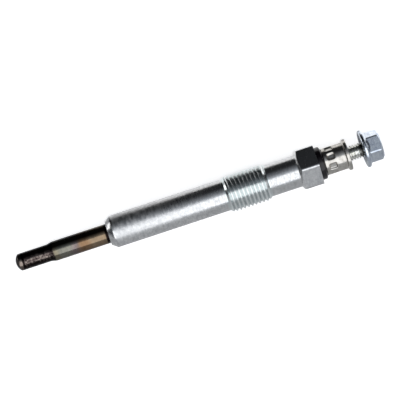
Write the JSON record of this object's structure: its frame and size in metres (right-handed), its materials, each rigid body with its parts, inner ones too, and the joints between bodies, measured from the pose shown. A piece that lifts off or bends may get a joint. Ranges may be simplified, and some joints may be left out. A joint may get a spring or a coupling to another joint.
{
  "type": "glow plug",
  "caption": "Diesel glow plug: swaged sheathed heater, turned steel body with seat cone, thread and hex, and a crimped screw terminal with a flange nut.",
  "frame": {"origin": "on the plug's axis at the body's nose face, where the seat cone begins", "axes": "+X along the axis from the heater towards the terminal nut, +Z square to one hex flat, +Y along that flat"},
  "size_m": [0.0959, 0.0116, 0.01],
  "materials": {
    "zinc_steel": "bright zinc plate over turned steel",
    "heat_tinted_sheath": "heat-tinted alloy, black oxide at the tip",
    "coil_wire": "drawn resistance wire",
    "magnesia": "packed white powder",
    "elastomer": "moulded, matte",
    "rod_steel": "rolled thread, thin nickel plate",
    "black_insulator": "moulded, satin",
    "nickel_terminal": "nickel plate, crimped",
    "zinc_nut": "bright blue-white zinc plate"
  },
  "bodies": {
    "plug": {"body_shell": "zinc_steel", "heater_tube": "heat_tinted_sheath", "heating_coil": "coil_wire", "control_coil": "coil_wire", "magnesia_fill": "magnesia", "tube_plug": "elastomer", "terminal_rod": "rod_steel", "seal_ring": "elastomer", "insulating_washer": "black_insulator", "terminal_sleeve": "nickel_terminal"},
    "nut": {"flange_nut": "zinc_nut"}
  },
  "joints": [
    {"name": "nut_travel", "type": "slide", "parent": "plug", "child": "nut", "axis": [1, 0, 0], "range_m": [-0.0035, 0.0024]}
  ]
}
